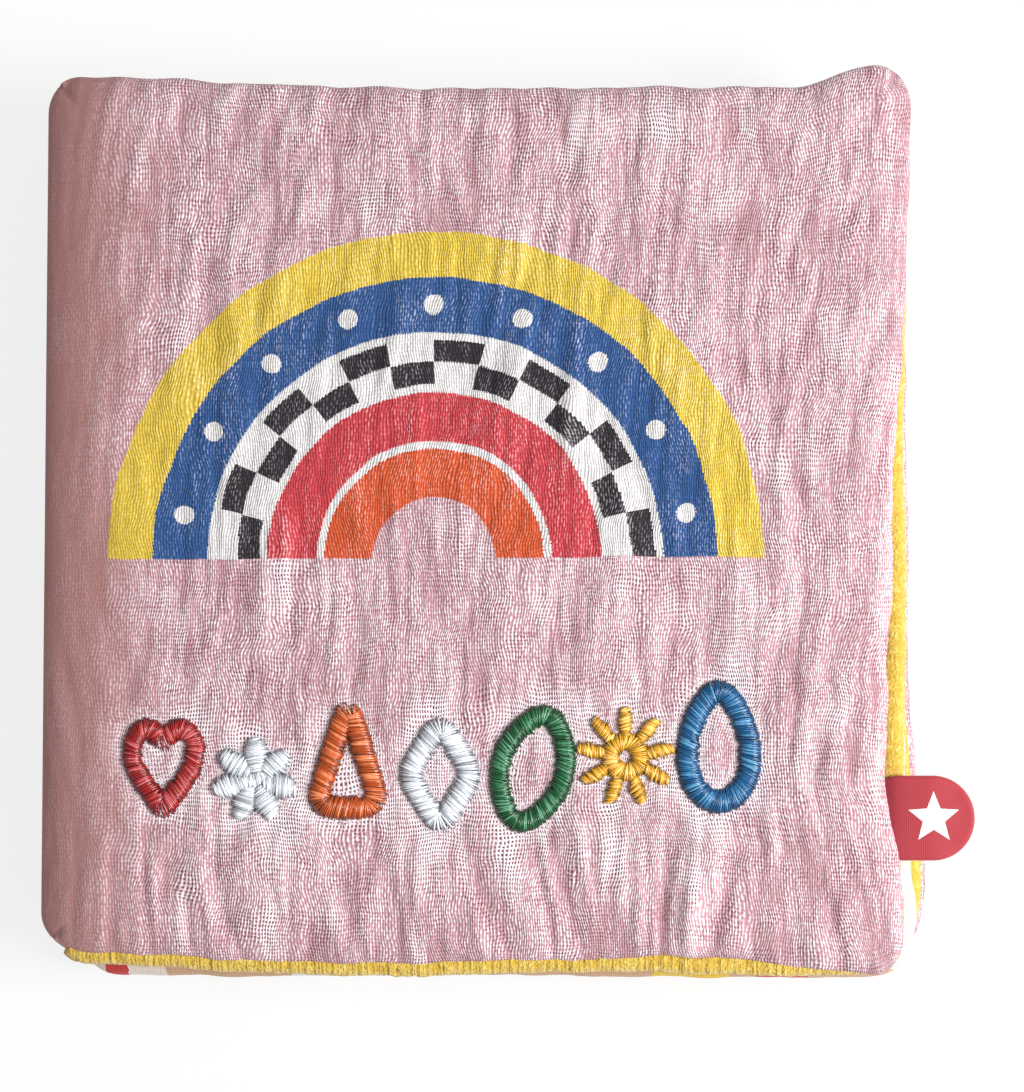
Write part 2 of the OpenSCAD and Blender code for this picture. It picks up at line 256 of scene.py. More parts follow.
def pull_seams(placed, fore, head, tail, wander=0.35):
    """Draws a pad's edges in and out, as the stuffing and the sewing do."""
    x, y = placed[:, 0].copy(), placed[:, 1].copy()
    right = smooth(2 * x / book_w)
    up, down = smooth(2 * y / book_h - 0.2), smooth(-2 * y / book_h - 0.2)
    fore_waver = wander * lumps(np.column_stack([y, y * 0]), (7, 7), 3.3)
    end_waver = wander * lumps(np.column_stack([x, x * 0]), (7, 7), 5.1)
    placed[:, 0] += right * (seam_curve(fore, y) + fore_waver)
    placed[:, 1] += up * (seam_curve(head, x) + end_waver) + down * (seam_curve(tail, x) + end_waver)


def crinkles(flat, seed):
    """How high the gauze's crinkles stand, from about -1 in a crease to 1 on a ridge."""
    x, y = flat.T
    swing = 3.5 * lumps(flat, (34, 48), seed + 2) - 0.12 * np.maximum(y - 90, 0)
    bent = np.column_stack([x + swing, y])
    gathered = 0.7 + 0.7 * smooth((38 - y) / 30) + 0.2 * smooth((y - book_h + 25) / 20)
    broad = 2.6 * np.abs(lumps(bent, (7.5, 42), seed)) - 0.9
    narrow = 2.4 * np.abs(lumps(bent, (3.4, 18), seed + 11)) - 0.8
    fine = lumps(bent, (1.5, 7), seed + 23)
    crossways = lumps(bent, (4.5, 3.2), seed + 31)
    return gathered * (0.55 * broad + 0.35 * narrow) + 0.16 * fine + 0.12 * crossways


turned_seam = arc((1.3, 1.3), (1.3, 1.3), 250, 180, 8)
cover_edges = {
    "left": section(arc((17, -1.5), (17.4, 6.1), 180, 90)),
    "right": section(turned_seam + arc((9, 1.3), (9, 3.3), 180, 90)),
    "tail": section(turned_seam + arc((8, 1.3), (8, 3.3), 180, 90)),
    "head": section(turned_seam + arc((8, 1.3), (8, 3.3), 180, 90)),
}
pad_t = 4.6
crinkle_d = 0.7
# Near the spine the gauze is drawn smooth and flat over the edge, and its colour is painted darker there as
# shade
spine_strip = 5
spine_fade = 20
spine_calm = 0.7
spine_draw = 1.1
spine_painted_shade = 0.88
hem_share = 0.95
cover_seams = (
    [
        (-76, -1.9), (-68, -1.9), (-60, -2.1), (-51, -3.6), (-45, -4.6), (-40, -4.7), (-32, -4.0), (-24, -4.3),
        (-15, -3.2), (2, -3.3), (20, -1.9), (37, -0.8), (47, -0.6), (54, -0.1), (76, 0.5)
    ],
    [
        (-75, 3.0), (-65, 2.8), (-48, 1.6), (-31, 0.5), (-13, -0.1), (4, -0.4), (21, -0.4), (38, -0.5),
        (50, -0.7), (56, -0.6), (60, 0.6), (64, 2.3), (70, 3.6), (76, 3.8)
    ],
    [
        (-75, 2.4), (-62, 1.7), (-48, 0.8), (-31, -0.1), (-13, -0.3), (4, 0.4), (21, 0.6), (38, 1.3), (48, 0.4),
        (56, -0.8), (64, -1.4), (70, -2.2), (75, -2.3)
    ],
)
back_cover_seams = (
    [(-76, -0.5), (-68, 1.0), (-58, 1.7), (-45, 0.4), (-30, -0.8), (-10, -0.8), (20, -1.0), (76, -1.0)],
    [(-75, 1.8), (-30, 0), (40, -0.5), (75, -0.6)],
    [(-75, 1.8), (0, 0.8), (75, 0.6)],
)


def gauze_cover(name, node, size, centre_x, seam_z, side, seams, step, seed):
    """The gauze of one cover: shaped over its wadding, and closed at the hem beneath.

    side is 1 for a cover that faces up, and -1 for the one that the book lies on."""
    cover, flat, placed, inside, _ = cloth_face(name, size, step, cover_edges)
    lift = inside.prod(axis=1)
    folds = crinkles(flat, seed)
    base = placed[:, 2] * (1 - smooth(lift * 3))
    to_spine = 1 - smooth((placed[:, 0] + size[0] / 2 - spine_strip) / spine_fade)
    placed[:, 2] = (
        base + (pad_t - base) * lift + crinkle_d * folds * np.sqrt(lift) * (1 - spine_calm * to_spine)
    )
    if side < 0:
        placed[:, 2] = np.minimum(placed[:, 2], seam_z)
    pull_seams(placed, *seams)
    placed[:, 0] += centre_x - spine_draw * to_spine
    placed[:, 2] = seam_z + side * placed[:, 2]
    lay(cover, placed, flat)
    note(cover, "crinkle", folds)
    # Painted shade: this share of painted light falls toward the spine, so the gauze is painted darker there
    note(cover, "painted_light_and_relief_share", 1 - spine_painted_shade * to_spine)
    note(cover, "stitched", folds * 0)
    edit(
        cover,
        (bpy.ops.mesh.select_mode, {"type": "EDGE"}),
        (bpy.ops.mesh.select_all, {"action": "DESELECT"}),
        (bpy.ops.mesh.select_non_manifold, {}),
        (bpy.ops.mesh.extrude_region_move, {}),
        (bpy.ops.transform.resize, {"value": (hem_share, hem_share, 0)}),
        (bpy.ops.mesh.edge_face_add, {}),
    )
    face_outwards(cover)
    bpy.ops.object.shade_smooth()
    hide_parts(node)
    return cover


class Wire:
    """One output of a shader node, which sums can be written with."""

    def __init__(self, finish, socket):
        self.finish = finish
        self.socket = socket

    def out(self, name):
        return Wire(self.finish, self.socket.node.outputs[name])

    def __add__(self, other):
        return self.finish.sum("ADD", self, other)

    def __sub__(self, other):
        return self.finish.sum("SUBTRACT", self, other)

    def __rsub__(self, other):
        return self.finish.sum("SUBTRACT", other, self)

    def __mul__(self, other):
        return self.finish.sum("MULTIPLY", self, other)

    def __truediv__(self, other):
        return self.finish.sum("DIVIDE", self, other)

    def __lt__(self, other):
        return self.finish.sum("LESS_THAN", self, other)

    def __gt__(self, other):
        return self.finish.sum("GREATER_THAN", self, other)

    def larger(self, other):
        return self.finish.sum("MAXIMUM", self, other)

    def smaller(self, other):
        return self.finish.sum("MINIMUM", self, other)

    def between(self, low, high):
        """Rises from 0 at low to 1 at high."""
        return ((self - low) / (high - low)).larger(0.0).smaller(1.0)

    def wave(self):
        """Turns a count of threads into a wave from 0 to 1 that peaks on each thread."""
        return self.finish.sum("SINE", self * (2 * math.pi)) * 0.5 + 0.5

    __radd__ = __add__
    __rmul__ = __mul__


class Finish:
    """A material on a Principled shader, whose nodes are added one call at a time."""

    def __init__(self, name, sockets):
        self.material = bpy.data.materials.new(name)
        self.material.use_nodes = True
        self.tree = self.material.node_tree
        self.shader = self.tree.nodes["Principled BSDF"]
        self.fill(self.shader, sockets)

    def fill(self, node, sockets):
        for key, value in sockets.items():
            if isinstance(value, Wire):
                self.tree.links.new(value.socket, node.inputs[key])
            else:
                node.inputs[key].default_value = value

    def node(self, kind, settings, sockets, output=0):
        made = self.tree.nodes.new("ShaderNode" + kind)
        for key, value in settings.items():
            setattr(made, key, value)
        self.fill(made, sockets)
        return Wire(self, made.outputs[output])

    def sum(self, operation, a, b=0.0):
        return self.node("Math", {"operation": operation}, {0: a, 1: b})

    def place(self, source):
        """The Object or UV coordinates, and their x and y in millimetres."""
        vector = self.node("TexCoord", {}, {}, source)
        parts = self.node("SeparateXYZ", {}, {0: vector})
        return vector, parts * 1000, parts.out(1) * 1000

    def noted(self, name):
        """A number that the mesh keeps at each point."""
        return self.node("Attribute", {"attribute_name": name}, {}, "Fac")

    def noise(self, vector, size, detail=2.0):
        """Smooth noise from 0 to 1, with lumps of about size (x, y, z) in millimetres."""
        spread = self.node("Mapping", {}, {0: vector, 3: [1 / (s * mm) for s in size]})
        return self.node("TexNoise", {}, {"Vector": spread, "Scale": 1, "Detail": detail})

    def mix(self, a, b, share):
        return self.node("Mix", {"data_type": "RGBA"}, {0: share, 6: a, 7: b}, 2)

    def shade(self, colour, amount):
        """A colour made darker or lighter by a number."""
        start = colour if isinstance(colour, Wire) else colour[:3]
        return self.node("VectorMath", {"operation": "SCALE"}, {0: start, "Scale": amount})

    def relief(self, height, depth):
        """Raises the surface by height, from 0 to 1, times depth in millimetres."""
        bump = self.node("Bump", {}, {"Height": height, "Distance": depth * mm, "Strength": 1.0})
        self.fill(self.shader, {"Normal": bump})

    def on(self, *pieces):
        for piece in pieces:
            piece.data.materials.clear()
            piece.data.materials.append(self.material)


def dye(red, green, blue):
    """A colour as a screen shows it, from 0 to 255, as the linear values of a shader."""
    return tuple(((c / 255 + 0.055) / 1.055) ** 2.4 for c in (red, green, blue)) + (1,)


warp_pitch = 0.47
weft_pitch = 0.73
thread_white = dye(255, 244, 248)
ridge_light_pink = dye(212, 168, 177)
hollow_shade_pink = dye(184, 136, 144)
spine_shade_pink = dye(168, 119, 111)
gap_pink = dye(146, 98, 108)
hole_pink = dye(104, 54, 68)

# The printed rainbow: each band's outer radius and colour, from the outside in
print_r = 57
print_margin = 10.5
print_foot = 69.9
print_x = -book_w / 2 + print_margin + print_r
print_y = -book_h / 2 + print_foot
ink_yellow = dye(242, 208, 84)
ink_blue = dye(60, 97, 154)
ink_white = dye(244, 240, 240)
ink_red = dye(216, 76, 84)
ink_orange = dye(228, 100, 62)
ink_black = dye(58, 54, 60)
bands = [
    (print_r, ink_yellow), (49, ink_blue), (39.5, ink_white),
    (28.9, ink_red), (20.4, ink_white), (19.1, ink_orange)
]
rainbow_hole = 10.6
ragged_by = 0.35
check_band = (38.2, 30.2)
check_count = 14
spot_count = 9
spot_r = 1.7


def rainbow(cloth, threads):
    """The rainbow's ink at each place, and where there is ink at all. Its edges follow the threads."""
    seen, x, y = cloth.place("Object")
    dx = x - print_x + (cloth.noise(seen, (11, 11, 11)) - 0.5) * 1.6
    dy = y - print_y + (cloth.noise(seen, (10, 10, 13)) - 0.5) * 1.2
    ragged = (threads - 0.5) * ragged_by
    from_centre = cloth.sum("SQRT", dx * dx + dy * dy) + ragged
    turn = cloth.sum("ARCTAN2", dy, dx) / math.pi
    ink = ink_white
    for radius, band_ink in bands:
        ink = cloth.mix(ink, band_ink, from_centre < radius)
    parity = cloth.sum("FLOORED_MODULO", cloth.sum("FLOOR", turn * check_count), 2.0)
    dark = cloth.sum("ABSOLUTE", parity - (from_centre > sum(check_band) / 2))
    in_band = (from_centre < check_band[0]) * (from_centre > check_band[1])
    ink = cloth.mix(ink, ink_black, dark * in_band)
    spot_ring = (bands[1][0] + bands[2][0]) / 2
    aside = (cloth.sum("FRACT", turn * spot_count) - 0.5) * (math.pi * spot_ring / spot_count)
    away = from_centre - spot_ring
    ink = cloth.mix(ink, ink_white, (aside * aside + away * away) < spot_r**2)
    here = (from_centre < print_r) * (from_centre > rainbow_hole) * ((dy + ragged) > 0.0)
    return ink, here


def gauze(name, printed=False):
    """Open-weave gauze: white threads show on its ridges and blur in its hollows, with painted light on the
    crinkles' ridges and painted shade in their hollows and near the spine.
    """
    cloth = Finish(name, {"Roughness": 0.9, "Sheen Weight": 0.05, "Specular IOR Level": 0.2})
    flat, u, v = cloth.place("UV")
    drift_u = cloth.noise(flat, (22, 18, 9)) * 8.0 + cloth.noise(flat, (3.5, 6, 2.2)) * 1.0
    drift_v = cloth.noise(flat, (15, 15, 9)) * 4.0 + cloth.noise(flat, (1.9, 2.5, 2.2)) * 0.8
    warp_count = (u + drift_u) / warp_pitch
    weft_count = (v + drift_v) / weft_pitch
    warp, weft = warp_count.wave(), weft_count.wave()
    on_top = cloth.sum("SINE", warp_count * math.pi) * cloth.sum("SINE", weft_count * math.pi) * 0.5 + 0.5
    stitched = cloth.noted("stitched")
    streaks = cloth.noise(flat, (1.1, 9, 5), 3.0)
    patches = cloth.noise(flat, (5, 20, 9), 2.0)
    grain = cloth.noise(flat, (0.4, 1.0, 0.8), 1.5)
    # Painted light on the crinkles' ridges, mixed with random streaks and patches of the cloth's own tone, and
    # faded out as painted shade near the spine
    ridge_light_and_tone = cloth.noted("crinkle") * 0.5 + (streaks - 0.5) * 2.6 + (patches - 0.5) * 2.0
    painted_light_and_relief_share = cloth.noted("painted_light_and_relief_share")
    ridge_light_and_tone = ridge_light_and_tone.between(-0.7, 1.0) * painted_light_and_relief_share
    dashes = (warp * (on_top * 0.5 + weft * 0.25 + 0.25) + (grain - 0.5) * 1.8).between(0.3, 0.72)
    grid = (warp + (grain - 0.5) * 0.7).between(0.4, 0.8)
    grid = grid.larger((weft + (grain - 0.5) * 0.7).between(0.5, 0.85))
    spread = cloth.noise(flat, (8, 14, 9), 2.0)
    parted = ((spread - 0.5) * 3.0 + ridge_light_and_tone * 0.5 + stitched * 1.3).between(0.35, 1.3)
    # The white threads show where the weave lies, and more of them on the ridges as a painted highlight
    thread_white_and_highlight = (dashes * (1 - parted) + grid * parted) * (ridge_light_and_tone * 1.6 + painted_light_and_relief_share * 0.24 + stitched * 0.5)
    # Painted shade: the ground is darker in the crinkles' hollows and darker still near the spine; painted
    # light makes it paler on the ridges
    shaded_hollow = cloth.mix(spine_shade_pink, hollow_shade_pink, painted_light_and_relief_share)
    ground = cloth.mix(shaded_hollow, ridge_light_pink, ridge_light_and_tone)
    gaps = (1 - grid) * (parted * 0.85 + 0.08) * painted_light_and_relief_share
    pricked = (cloth.noise(flat, (4, 6, 9), 2.0) + grain * 0.3).between(0.61, 0.74) * painted_light_and_relief_share
    holes = ((1 - warp) * (1 - weft)).between(0.45, 0.8) * pricked
    open_ground = cloth.mix(cloth.mix(ground, gap_pink, gaps), hole_pink, holes)
    colour = cloth.mix(open_ground, thread_white, thread_white_and_highlight.smaller(1.0))
    threads = warp * 0.6 + weft * 0.4
    if printed:
        ink, here = rainbow(cloth, threads)
        # The ink pales toward white thread as a painted highlight where the threads show most, and is darker in
        # the crinkles' creases as painted shade, besides random streaks of tone
        worn_and_lit_ink = cloth.mix(ink, thread_white, (thread_white_and_highlight - 0.5).larger(0.0) * 0.35)
        depth = dashes * 0.34 + streaks * 0.4 + ridge_light_and_tone * 0.1 + 0.5
        colour = cloth.mix(colour, cloth.shade(worn_and_lit_ink, depth), here)
    cloth.fill(cloth.shader, {"Base Color": colour})
    cloth.relief((threads * 0.5 + streaks * 0.9) * painted_light_and_relief_share, 0.3)
    return cloth


front_gauze = gauze_cover(
    "front_cover_gauze", "front_cover", (book_w, book_h), 0, front_seam_z, 1, cover_seams, 0.6, 0.0
)
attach(front_gauze, "front_cover_half")
gauze("printed gauze", printed=True).on(front_gauze)

# The back cover's gauze
# The same crinkled gauze, unprinted. The book rests on it, so its ridges are pressed flat there,
# and it stands out a little past the front cover at the fore-edge.
back_seam_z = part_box("back_cover")[1].z / mm
back_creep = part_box("back_lining")[1].x / mm - book_w / 2
back_gauze = gauze_cover(
    "back_cover_gauze", "back_cover", (book_w + back_creep, book_h), back_creep / 2,
    back_seam_z, -1, back_cover_seams, 0.9, 40.0
)
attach(back_gauze, "back_cover_half")
plain_gauze = gauze("plain gauze")
plain_gauze.on(back_gauze)

# The linings
# Each cover is lined with fuzzy brushed cloth, yellow. Its edge is stuffed out into a soft bead
# that shows past the gauze at the fore-edge and the tail, drawn into fine gathers by the seam.
lining_t = 1.6
lining_bead = arc((2.1, 1.5), (2.1, 1.9), 180, 90, 12) + [(3.2, 3.1), (4.6, lining_t), (7, lining_t)]
lining_upper = section(lining_bead)
lining_lower = lining_upper.copy()
lining_lower[:, 1] = 1.5 - 1.5 * np.sqrt(1 - np.clip(1 - lining_upper[:, 0] / 2.1, 0, 1) ** 2)
lining_rims = (lining_upper, lining_lower)
flat_rims = (
    section([(1.4, 0.8), (1.7, 1.3), (2.2, lining_t), (7, lining_t)], lining_upper[-1][2]),
    section([(1.4, 0.8), (1.7, 0.3), (2.2, 0), (7, 0)], lining_upper[-1][2]),
)
lining_seams = (
    [
        (-76, -2.9), (-68, -2.8), (-60, -2.5), (-50, -1.6), (-41, -1.5), (-32, -1.3), (-22, -0.9), (-10, -0.8),
        (10, -1.1), (40, -0.7), (50, -0.9), (60, -1.6), (76, -2.4)
    ],
    [(-75, 1.6), (-40, 0.5), (0, -0.7), (40, -1.0), (54, -1.2), (62, 0.2), (70, 2.4), (75, 3.0)],
    [
        (-75, 1.3), (-65, 1.0), (-48, -0.2), (-31, -1.0), (-13, -1.3), (4, -0.8), (21, -0.3), (38, -0.6),
        (56, -1.1), (64, -0.9), (70, -0.8), (75, -0.6)
    ],
)
back_lining_seams = (
    [(-76, -1.5), (-70, 0.0), (-62, 0.9), (-52, 0.3), (-40, -1.2), (-22, -1.8), (30, -1.5), (76, -1.5)],
    [(-75, 1.2), (0, -0.8), (75, -0.6)],
    [(-75, 1.8), (0, 0.8), (75, 0.6)],
)
rim_run = 7
pad_lump_d = 0.12
ruffle_span = 75
lining_yellow = dye(225, 190, 80)
lining_deep = dye(190, 146, 44)
lining_pale = dye(246, 224, 136)


def pad(name, size, step, rims, seams, seed, wander, ruffle, radius=corner_r, left_rims=None):
    """A closed pad of cloth: two faces laid over its stuffing, and sewn together round the edge.

    rims are the sections of the upper and the lower face, at all sides unless left_rims differ."""
    faces = []
    for k, sign in ((0, 1), (1, -1)):
        edges = {side: rims[k] for side in ("left", "right", "tail", "head")}
        if left_rims:
            edges["left"] = left_rims[k]
        face, flat, placed, _, nearest = cloth_face(name, size, step, edges, radius)
        edge = 1 - smooth(nearest / rim_run)
        x, y = placed[:, 0], placed[:, 1]
        gather = lumps(np.column_stack([x + y, x - y]), (1.5, 1.5), seed)
        soft = lumps(placed[:, :2], (9, 9), seed + 3)
        placed[:, 2] += sign * (1 - edge) * pad_lump_d * soft
        placed[:, :2] *= 1 + ruffle * (edge * gather)[:, None] / ruffle_span
        pull_seams(placed, *seams, wander)
        lay(face, placed, flat)
        faces.append(face)
    pick(*faces)
    bpy.ops.object.join()
    edit(
        faces[0],
        (bpy.ops.mesh.select_all, {"action": "SELECT"}),
        (bpy.ops.mesh.remove_doubles, {"threshold": 0.08 * mm}),
    )
    face_outwards(faces[0])
    bpy.ops.object.shade_smooth()
    return faces[0]


def moved(piece, x, y, z):
    piece.data.transform(Matrix.Translation(Vector((x, y, z)) * mm))


front_lining = pad(
    "front_lining_cloth", (book_w, book_h), 1.0, lining_rims, lining_seams, 7.0, 0.22, 0.14,
    left_rims=flat_rims
)
front_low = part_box("front_lining")[0] / mm
moved(front_lining, 0, front_low.y + book_h / 2, front_low.z)

# The fore-edge bead is pressed flat where the tab lies on it
tab_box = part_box("label_tab")
tab_y = (tab_box[0].y + tab_box[1].y) / 2 / mm
tab_w = (tab_box[1].y - tab_box[0].y) / mm
press_share = 0.85
press_fade = 1.6
press_start = 66
for point in front_lining.data.vertices:
    x, y, z = point.co / mm
    pressed = smooth((tab_w / 2 + press_fade - abs(y - tab_y)) / press_fade) * smooth((x - press_start) / 3)
    point.co.z -= pressed * press_share * max(0, z - front_low.z - lining_t) * mm
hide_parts("front_lining")
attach(front_lining, "front_cover_half")

back_lining = pad(
    "back_lining_cloth", (book_w, book_h), 1.2, lining_rims, back_lining_seams, 17.0, 0.22, 0.14,
    left_rims=flat_rims
)
for point in back_lining.data.vertices:
    point.co.z = lining_t * mm - point.co.z
back_lining.data.flip_normals()
moved(back_lining, back_creep, 0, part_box("back_lining")[0].z / mm)
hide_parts("back_lining")
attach(back_lining, "back_cover_half")

brushed = Finish("brushed yellow cloth", {"Roughness": 0.95, "Sheen Weight": 0.5, "Specular IOR Level": 0.1})
nap, _, nap_y = brushed.place("Object")
fuzz = brushed.noise(nap, (0.45, 0.55, 0.45), 3.0)
tufts = brushed.noise(nap, (1.6, 1.6, 1.6), 2.0)
past_tail = nap_y.between(-73, -70)
# The gathers also darken the yellow in stripes, painted shade in their grooves, besides the fleece's random
# tone
gathers = brushed.noise(nap, (0.7, 7, 7), 1.0) * (1 - past_tail) + past_tail * 0.5
fleece = brushed.mix(lining_deep, lining_yellow, (fuzz + tufts * 0.4 + gathers * 0.6).between(0.6, 1.05))
fleece = brushed.mix(fleece, lining_pale, (fuzz * 0.8 + tufts * 0.8).between(0.85, 1.15))
brushed.fill(brushed.shader, {"Base Color": fleece})
brushed.relief(fuzz + tufts * 0.5 + gathers * 1.4, 0.5)
brushed.on(front_lining, back_lining)

# The leaves
# Three thin padded leaves of smooth white cotton, sewn together down the spine.
# They lie a little askew, so that their edges show past the covers at the tail and the fore-edge.
leaf_low, leaf_high = (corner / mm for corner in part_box("page_block"))
leaf_count = 3
leaf_t = (leaf_high.z - leaf_low.z) / leaf_count
leaf_w = book_w - 3.4
leaf_h = [book_h - 1, book_h - 3, book_h - 3]
leaf_shift = [(1.1, -3.5), (0.6, 0.3), (0.9, -0.5)]
leaf_rims = [section(arc((2.4, leaf_t / 2), (2.4, leaf_t / 2), 180, end, 8)) for end in (90, 270)]
leaf_seams = (
    [
        (-76, -0.6), (-71, 0.9), (-66, 0.9), (-60, 0.2), (-52, -0.3), (-20, -0.8), (20, -0.7), (50, 0.7),
        (58, 1.3), (66, 1.3), (76, 0)
    ],
    [(-75, 0), (0, -0.6), (75, 0)],
    [(-75, 0.6), (-55, 0), (0, 0.3), (40, -0.1), (75, 0)],
)
leaves = []
for k, (shift_x, shift_y) in enumerate(leaf_shift):
    leaf = pad(f"leaf_{k + 1}", (leaf_w, leaf_h[k]), 1.5, leaf_rims, leaf_seams, 27.0 + k, 0.25, 0.1)
    moved(leaf, shift_x + 0.4, shift_y, leaf_low.z + k * leaf_t)
    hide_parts("page_block")
    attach(leaf, "pages")
    leaves.append(leaf)


def cotton(name, colour):
    """Smooth cotton of a close, even weave."""
    cloth = Finish(name, {"Roughness": 0.85, "Sheen Weight": 0.15, "Specular IOR Level": 0.2})
    flat, u, v = cloth.place("UV")
    weave = (u / 0.34).wave() * 0.5 + (v / 0.34).wave() * 0.5
    slubs = cloth.noise(flat, (0.8, 5, 2), 3.0)
    plain = cloth.shade(colour, weave * 0.06 + slubs * 0.12 + 0.88)
    cloth.relief(weave + slubs, 0.08)
    return cloth, plain


white_cotton, plain_white = cotton("white cotton", dye(230, 224, 210))
white_cotton.fill(white_cotton.shader, {"Base Color": plain_white})
white_cotton.on(*leaves[1:])

# The lowest leaf's tan border carries small plain patches of colour at its tail edge
patched_cotton, plain_tan = cotton("tan cotton", dye(214, 172, 138))
tail_border = -68.0
fore_border = 69.0
seen, patch_x, patch_y = patched_cotton.place("Object")
patches = plain_tan
for start, end, colour in (
    (-72, -56, dye(240, 226, 214)), (-67, -63, dye(206, 66, 64)), (-34, -18, dye(242, 240, 236)),
    (-9, -3, dye(52, 150, 150)), (30, 43, dye(240, 200, 70)), (48, 57, dye(205, 60, 68)),
):
    edge = patch_x + (patched_cotton.noise(seen, (3, 3, 3)) - 0.5) * 2.0
    patches = patched_cotton.mix(patches, colour, (edge > start) * (edge < end) * (patch_y < tail_border))
for start, end, colour in (
    (-78, -58, dye(244, 238, 222)), (57, 64, dye(84, 80, 92)), (70, 73, dye(206, 66, 64)),
):
    patches = patched_cotton.mix(patches, colour, (patch_y > start) * (patch_y < end) * (patch_x > fore_border))
patched_cotton.fill(patched_cotton.shader, {"Base Color": patches})
patched_cotton.on(leaves[0])

# The spine
# A strip of the covers' own gauze goes round the back of the leaves and is sewn to both covers.
# It is made in two halves that meet at mid height, so that each follows its own cover.
spine_h = book_h - 8
spine_mid = (leaf_low.z + leaf_high.z) / 2
spine_x = -book_w / 2 - 0.4
spine_overlap = 1.3
spine_ends = {"front": (spine_x, front_seam_z - spine_overlap), "back": (spine_x, back_seam_z + spine_overlap)}
spine_bow = 1.5
spine_fold_d = 0.4
# The spine strips get a low share of painted light, so their colour is painted darker as shade
spine_painted_light_and_relief = 0.3
# The strip's ends are turned in over a short run at the head and the tail
turn_run = 6
turn_in = 5
turn_dip = 0.4
back_cut_start = 30
spine_cloth_t = 0.7
spine_hem = 2.4


def spine_half(name, cover, side):
    """Half of the spine strip, from its cover down to the middle, with its ends turned in."""
    end_x, end_z = spine_ends[cover]
    height = abs(end_z - spine_mid)
    bpy.ops.object.select_all(action="DESELECT")
    bpy.ops.mesh.primitive_grid_add(x_subdivisions=14, y_subdivisions=130, size=1)
    strip = bpy.context.object
    strip.name = name
    unit = points_of(strip)[:, :2] + 0.5
    up, y = unit[:, 0], (unit[:, 1] - 0.5) * spine_h
    flat = np.column_stack([up * height + (0 if side > 0 else back_cut_start), y + spine_h / 2])
    folds = crinkles(flat[:, ::-1] * (0.7, 1), 60.0 + side)
    turned = np.maximum(0, np.abs(y) - spine_h / 2 + turn_run) / turn_run
    drawn_in = turn_in * (1 - np.sqrt(1 - np.minimum(turned, 1) ** 2))
    x = end_x - spine_bow * (1 - up**2) + drawn_in + spine_fold_d * folds
    placed = np.column_stack([x, y - turned * turn_dip * np.sign(y), spine_mid + side * up * height])
    lay(strip, placed, flat)
    note(strip, "crinkle", folds)
    note(strip, "painted_light_and_relief_share", folds * 0 + spine_painted_light_and_relief)
    note(strip, "stitched", folds * 0)
    pick(strip)
    wall = strip.modifiers.new("cloth", "SOLIDIFY")
    wall.thickness = spine_cloth_t * mm
    wall.offset = -1 if side > 0 else 1
    bpy.ops.object.modifier_apply(modifier=wall.name)
    bpy.ops.object.shade_smooth()
    plain_gauze.on(strip)
    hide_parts("spine")
    (height + spine_hem) * mm
    return strip


for cover, side in (("front", 1), ("back", -1)):
    half = spine_half(f"spine_cloth_{cover}", cover, side)
    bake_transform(half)

# The label tab
# A short tab of red woven tape, folded double and held in the fore-edge seam under the gauze.
# Its end is rounded, and a small plain star is woven into its middle.
tab_low, tab_high = (corner / mm for corner in tab_box)
tab_t = tab_high.z - tab_low.z
tab_l = tab_high.x - tab_low.x - 0.7
tab_rims = [section(arc((0.45, tab_t / 2), (0.45, tab_t / 2), 180, end, 6)) for end in (90, 270)]
level_seams = ([(-76, 0), (76, 0)],) * 3
tab_rise = 0.75
tab_fall = 1.0
tab = pad("label_tab_tape", (tab_l, tab_w), 0.5, tab_rims, level_seams, 71.0, 0, 0.05, tab_w / 2 - 0.1)
moved(tab, tab_low.x + tab_l / 2, tab_y, tab_low.z)
for point in tab.data.vertices:
    x = point.co.x / mm
    point.co.z += (tab_rise * smooth((x - 69) / 3) - tab_fall * smooth((x - 77) / 8)) * mm
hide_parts("label_tab")
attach(tab, "front_cover_half")

tape = Finish("red woven tape", {"Roughness": 0.6, "Sheen Weight": 0.15, "Specular IOR Level": 0.3})
_, tape_u, tape_v = tape.place("UV")
_, tape_x, tape_y = tape.place("Object")
ribs = (tape_u / 0.36).wave() * 0.5 + (tape_v / 0.3).wave() * 0.5
star_x, star_y, star_r, star_waist = 78.4, tab_y, 4.6, 2.0
star_step = math.radians(72)
star_dx, star_dy = tape_x - star_x, tape_y - star_y
star_turn = tape.sum("ARCTAN2", star_dx, star_dy) / star_step + 5.5
folded = tape.sum("ABSOLUTE", tape.sum("FRACT", star_turn) - 0.5) * star_step
reach = tape.sum("SQRT", star_dx * star_dx + star_dy * star_dy) + (ribs - 0.5) * 0.12
waist_x, waist_y = star_waist * math.cos(star_step / 2), star_waist * math.sin(star_step / 2)
to_side, to_tip = reach * tape.sum("SINE", folded), reach * tape.sum("COSINE", folded)
side_of = to_side * (star_r - waist_x) + to_tip * waist_y
# The red is darker toward the seam: painted shade
tape_red_shaded_at_seam = tape.mix(dye(178, 57, 66), dye(154, 46, 57), 1 - tape_x.between(70.5, 74.5))
woven = tape.mix(tape_red_shaded_at_seam, dye(248, 244, 242), side_of < star_r * waist_y)
tape.fill(tape.shader, {"Base Color": tape.shade(woven, ribs * 0.1 + 0.93)})
tape.relief(ribs, 0.05)
tape.on(tab)

# The stitched shapes
# Seven shapes in satin stitch: strands of glossy thread laid side by side across each line, over a
# padding of the same thread. They draw the gauze in round them, where its weave opens and frays.
strand_pitch = 0.29
strand_w = 0.34
satin_w = 3.7
satin_h = 1.35
cloth_z = front_seam_z + pad_t - 0.5
edge_rounding = 14
hand = np.random.default_rng(5)
round_turn = np.radians(np.arange(0, 360, 3))


